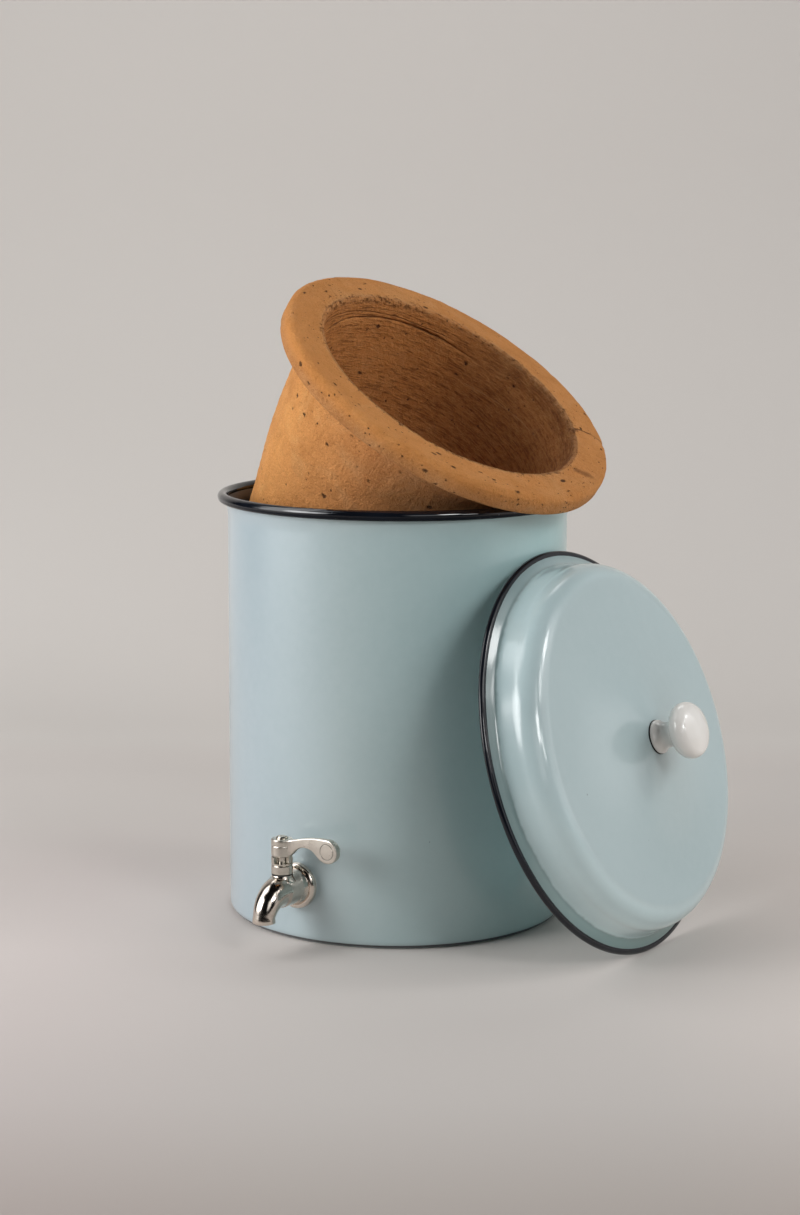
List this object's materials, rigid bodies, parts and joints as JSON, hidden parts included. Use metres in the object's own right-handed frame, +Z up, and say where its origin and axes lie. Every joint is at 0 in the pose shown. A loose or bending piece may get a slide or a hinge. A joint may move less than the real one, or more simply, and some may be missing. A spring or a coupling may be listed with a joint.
{
  "type": "gravity water filter with tap",
  "caption": "Countertop gravity water filter: round enamelled tank with a lever tap, flanged clay filter pot tilted in its mouth and a domed lid with a round knob leaning on it.",
  "frame": {"origin": "centre of the tank's underside, on the surface it stands on", "axes": "+Z up along the tank's axis, the tap faces -Y, the lid leans on the +X side"},
  "size_m": [0.3644, 0.3019, 0.4389],
  "materials": {
    "enamel_pale": "glossy pale blue-grey enamel",
    "enamel_dark": "glossy near-black navy enamel",
    "stainless": "warm satin stainless steel",
    "clay": "unglazed porous terracotta, matte",
    "porcelain": "glossy warm white glazed ceramic",
    "brass": "plain brass",
    "silicone": "translucent white silicone",
    "ptfe": "white PTFE",
    "black_rubber": "black rubber"
  },
  "bodies": {
    "tank": {"tank_shell": "enamel_pale", "tank_rim": "enamel_dark", "tap_outer_washer": "silicone", "tap_inner_washer": "silicone", "tap_backing_washer": "stainless", "tap_lock_nut": "stainless", "tap_body": "stainless", "valve_seats": "ptfe", "bonnet_seal": "black_rubber", "tap_bonnet": "stainless"},
    "valve": {"valve_stem": "stainless", "stem_orings": "black_rubber", "lever": "stainless", "lever_screw": "stainless"},
    "filter": {"filter_pot": "clay"},
    "lid": {"lid_shell": "enamel_pale", "lid_rim": "enamel_dark", "knob_gasket": "black_rubber", "lid_knob": "porcelain", "knob_insert": "brass", "knob_washer": "stainless", "knob_screw": "stainless"}
  },
  "joints": [
    {"name": "lever_turn", "type": "hinge", "parent": "tank", "child": "valve", "pos_m": [0, -0.137, 0.04], "axis": [0, 0, -1], "range_deg": [0, 90]},
    {"name": "pot_tip", "type": "hinge", "parent": "tank", "child": "filter", "pos_m": [0.11656, -0.0102, 0.2685], "axis": [-0.0872, -0.9962, 0], "range_deg": [0, 35.5]},
    {"name": "lid_lift", "type": "slide", "parent": "tank", "child": "lid", "axis": [0.9512, 0, 0.3085], "range_m": [0, 0.15]}
  ]
}
